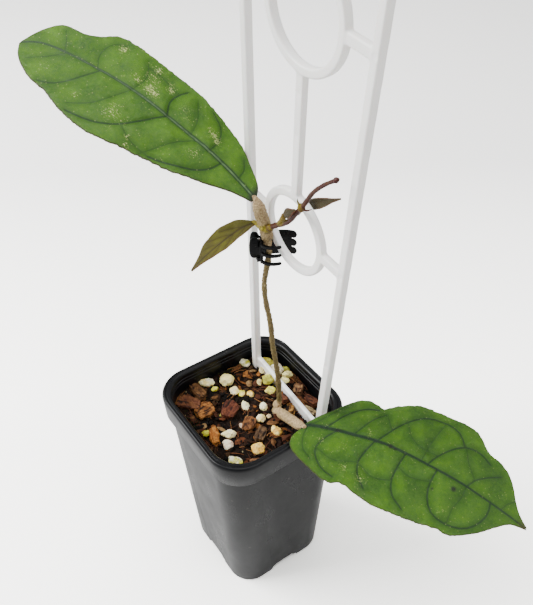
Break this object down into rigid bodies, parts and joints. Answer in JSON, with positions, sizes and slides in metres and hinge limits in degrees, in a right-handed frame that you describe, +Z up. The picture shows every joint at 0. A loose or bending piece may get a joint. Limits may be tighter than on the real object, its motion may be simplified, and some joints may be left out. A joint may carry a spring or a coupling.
{
  "type": "potted hoya peninsularis",
  "caption": "Rooted hoya cutting with long, waved, silver-flecked leaves in a square black nursery pot, held by a small claw clip to a white ring trellis",
  "frame": {"origin": "centre of the bottom of the bounding box, on the plane the pot's feet stand on", "axes": "Z up; the pot's flat sides face along X and Y; the trellis stands in the X-Z plane near the pot's +Y side, the small clip opens towards -Y and +X, and the large lower leaf reaches out to +X and +Y"},
  "size_m": [0.192, 0.118, 0.3228],
  "materials": {
    "pot_black": "satin moulded plastic with fine mould lines",
    "potting_mix": "dark coarse mix of bark, coir and peat",
    "pumice": "rough cream to yellow-green pumice",
    "bark": "red-brown to orange bark chips",
    "trellis_white": "white moulded plastic, softly rounded",
    "stem_bark": "olive-brown stem with thick beige petioles",
    "leaf_green": "waxy green with dark veins and silver flecks",
    "young_leaf": "olive young leaf with a red-brown edge",
    "shoot_maroon": "smooth maroon shoot",
    "clip_black": "glossy black moulded plastic",
    "pin_steel": "plain steel pin"
  },
  "bodies": {
    "potted_plant": {"pot": "pot_black", "potting_mix": "potting_mix", "trellis": "trellis_white", "stem": "stem_bark", "upper_leaf": "leaf_green", "lower_leaf": "leaf_green", "young_left_leaf": "young_leaf", "young_right_leaf": "young_leaf", "curled_leaf": "young_leaf", "new_shoot": "shoot_maroon", "clip_far_jaw": "clip_black", "clip_pin": "pin_steel", "pumice_01": "pumice", "pumice_02": "pumice", "pumice_03": "pumice", "pumice_04": "pumice", "pumice_05": "pumice", "pumice_06": "pumice", "pumice_07": "pumice", "pumice_08": "pumice", "pumice_09": "pumice", "pumice_10": "pumice", "pumice_11": "pumice", "pumice_12": "pumice", "pumice_13": "pumice", "pumice_14": "pumice", "pumice_15": "pumice", "pumice_16": "pumice", "pumice_17": "pumice", "pumice_18": "pumice", "pumice_19": "pumice", "pumice_20": "pumice", "bark_chip_01": "bark", "bark_chip_02": "bark", "bark_chip_03": "bark", "bark_chip_04": "bark", "bark_chip_05": "bark", "bark_chip_06": "bark", "bark_chip_07": "bark", "bark_chip_08": "bark", "bark_chip_09": "bark", "bark_chip_10": "bark", "bark_chip_11": "bark", "bark_chip_12": "bark", "bark_chip_13": "bark"},
    "clip_jaw": {"clip_near_jaw": "clip_black"}
  },
  "joints": [
    {"name": "clip_opens", "type": "hinge", "parent": "potted_plant", "child": "clip_jaw", "pos_m": [-0.02384, 0.0002, 0.1875], "axis": [0, 0, -1], "range_deg": [0, 28], "stiffness_Nm_per_rad": 0.01, "springref_deg": -20.05}
  ]
}
